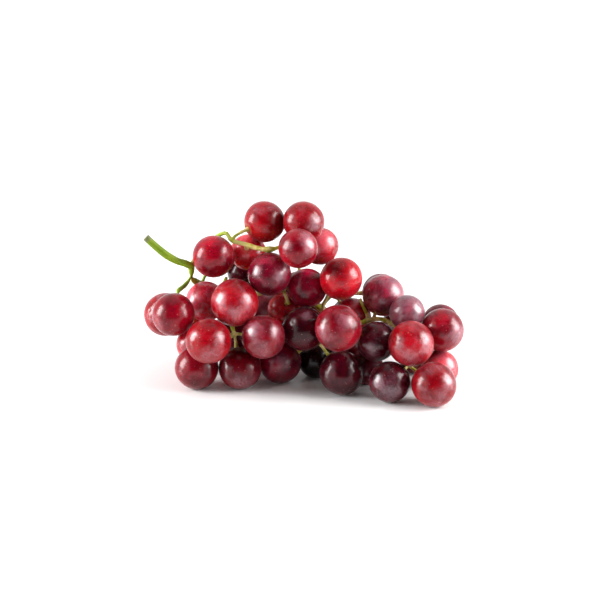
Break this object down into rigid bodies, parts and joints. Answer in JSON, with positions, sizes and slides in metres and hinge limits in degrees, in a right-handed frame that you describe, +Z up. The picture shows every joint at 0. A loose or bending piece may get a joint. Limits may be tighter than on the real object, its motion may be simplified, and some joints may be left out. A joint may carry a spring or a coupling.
{
  "type": "bunch of grapes",
  "caption": "Bunch of round red table grapes lying on its side, with berries on a branched green stalk and a bare cut stem at one end.",
  "frame": {"origin": "middle of the bunch's box, on the surface that it lies on", "axes": "+X along the bunch from its cut stem to its tip, +Z up; the side in the picture faces -Y"},
  "size_m": [0.1899, 0.1145, 0.1079],
  "materials": {
    "berry_red": "bright red translucent grape skin with soft gloss, pale bloom and small pale dots",
    "berry_crimson": "deep crimson translucent grape skin with soft gloss and mauve bloom",
    "berry_dark": "nearly black purple grape skin with soft gloss and mauve bloom",
    "stalk_green": "yellow-green stalk with brown lenticels, darker knots and a dull cut end"
  },
  "bodies": {
    "root": {"berry_01": "berry_crimson", "berry_02": "berry_red", "berry_03": "berry_red", "berry_04": "berry_crimson", "berry_05": "berry_red", "berry_06": "berry_red", "berry_07": "berry_dark", "berry_08": "berry_dark", "berry_09": "berry_dark", "berry_10": "berry_red", "berry_11": "berry_crimson", "berry_12": "berry_red", "berry_13": "berry_red", "berry_14": "berry_crimson", "berry_15": "berry_red", "berry_16": "berry_crimson", "berry_17": "berry_crimson", "berry_18": "berry_crimson", "berry_19": "berry_dark", "berry_20": "berry_red", "berry_21": "berry_dark", "berry_22": "berry_red", "berry_23": "berry_dark", "berry_24": "berry_crimson", "berry_25": "berry_crimson", "berry_26": "berry_dark", "berry_27": "berry_dark", "berry_28": "berry_dark", "berry_29": "berry_red", "berry_30": "berry_crimson", "berry_31": "berry_dark", "berry_32": "berry_red", "berry_33": "berry_red", "berry_34": "berry_dark", "berry_35": "berry_dark", "berry_36": "berry_dark", "berry_37": "berry_dark", "berry_38": "berry_red", "berry_39": "berry_red", "berry_40": "berry_red", "berry_41": "berry_red", "berry_42": "berry_dark", "berry_43": "berry_crimson", "berry_44": "berry_dark", "berry_45": "berry_crimson", "berry_46": "berry_dark", "berry_47": "berry_dark", "berry_48": "berry_red", "berry_49": "berry_red", "berry_50": "berry_dark", "berry_51": "berry_crimson", "berry_52": "berry_dark", "berry_53": "berry_crimson", "berry_54": "berry_red", "berry_55": "berry_crimson", "berry_56": "berry_dark", "berry_57": "berry_red", "stalk": "stalk_green"}
  },
  "joints": []
}
